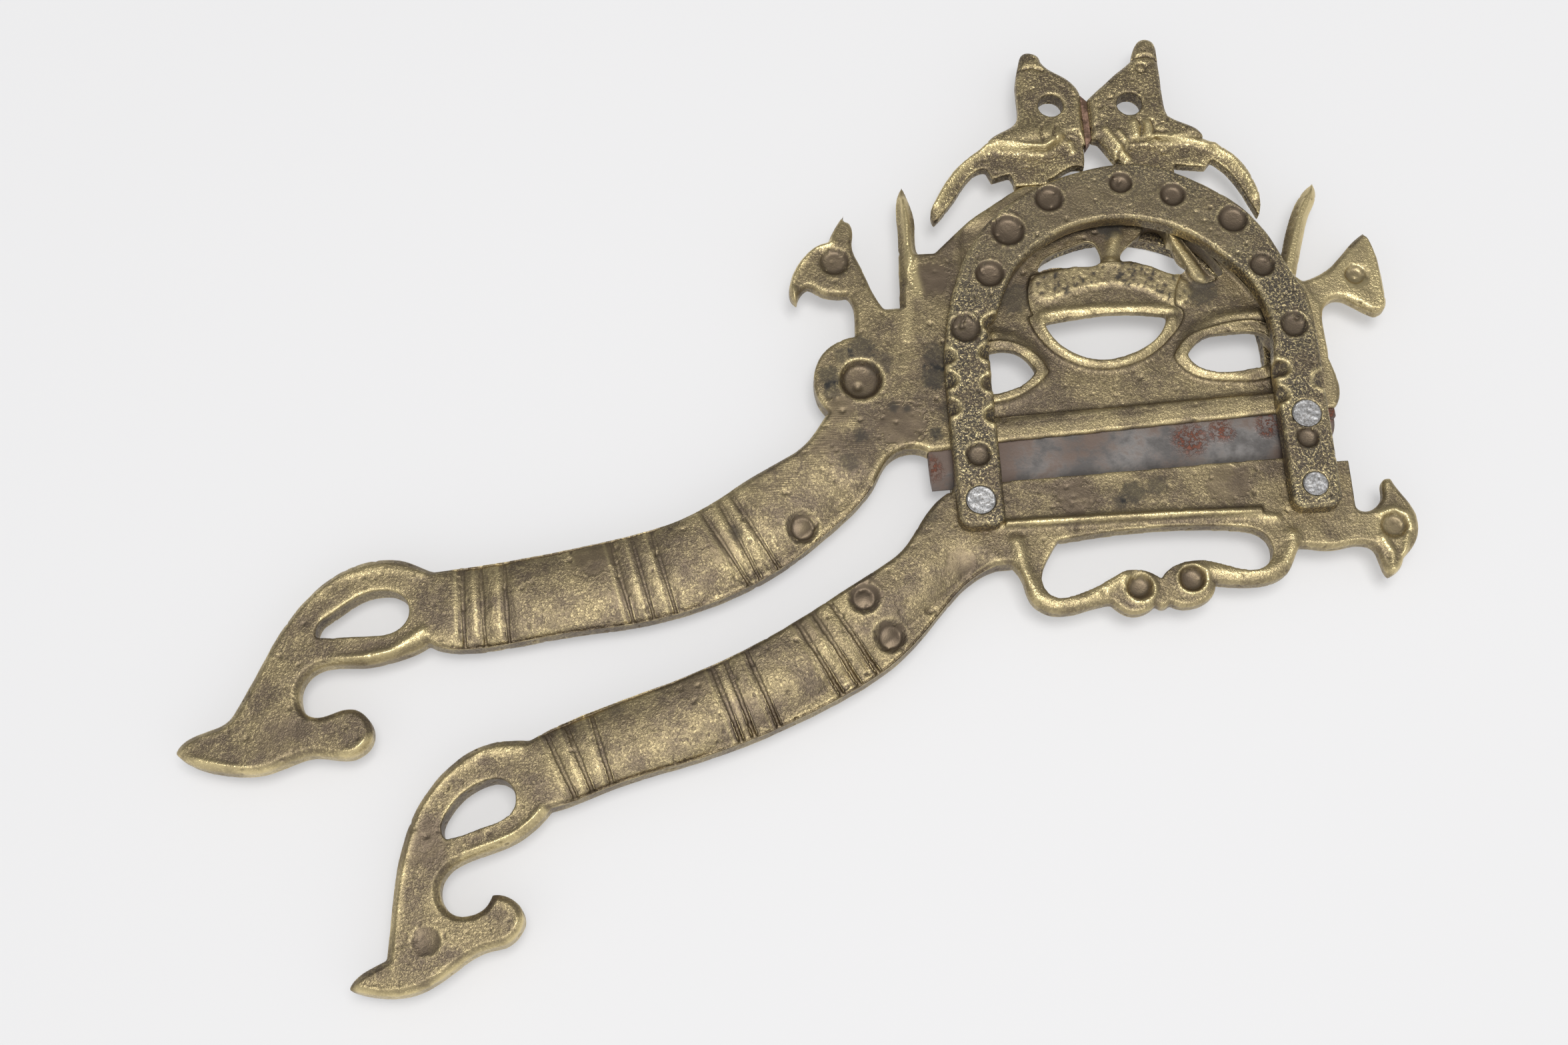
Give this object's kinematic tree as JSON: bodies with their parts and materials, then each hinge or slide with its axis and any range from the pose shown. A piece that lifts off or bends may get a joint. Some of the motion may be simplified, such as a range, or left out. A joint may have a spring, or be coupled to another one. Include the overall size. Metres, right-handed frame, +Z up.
{
  "type": "betel nut cutter",
  "caption": "Cast brass betel nut cutter with scroll-ended handles, a hinged arm carrying a steel blade, riveted horseshoe guards and a pair of birds on its crown.",
  "frame": {"origin": "on the surface that the cutter lies on, under the middle of its outline with the blade shut on the anvil", "axes": "+Z up out of the face that shows, +X along the blade towards the hinge, +Y towards the birds"},
  "size_m": [0.2068, 0.1634, 0.0115],
  "materials": {
    "cast_brass": "aged",
    "guard_brass": "worn",
    "blade_steel": "dull",
    "rivet_metal": "hammered",
    "braze_copper": "dull"
  },
  "bodies": {
    "lower": {"lower_arm": "cast_brass", "front_guard": "guard_brass", "back_guard": "guard_brass", "pivot_rivet": "rivet_metal", "left_guard_rivet": "rivet_metal", "right_guard_rivet": "rivet_metal"},
    "upper": {"upper_arm": "cast_brass", "blade": "blade_steel", "left_bird": "cast_brass", "right_bird": "cast_brass", "bird_braze": "braze_copper"}
  },
  "joints": [
    {"name": "arm_hinge", "type": "hinge", "parent": "lower", "child": "upper", "pos_m": [0.08559, 0.00574, 0.0056], "axis": [0, 0, -1], "range_deg": [0, 50]}
  ]
}
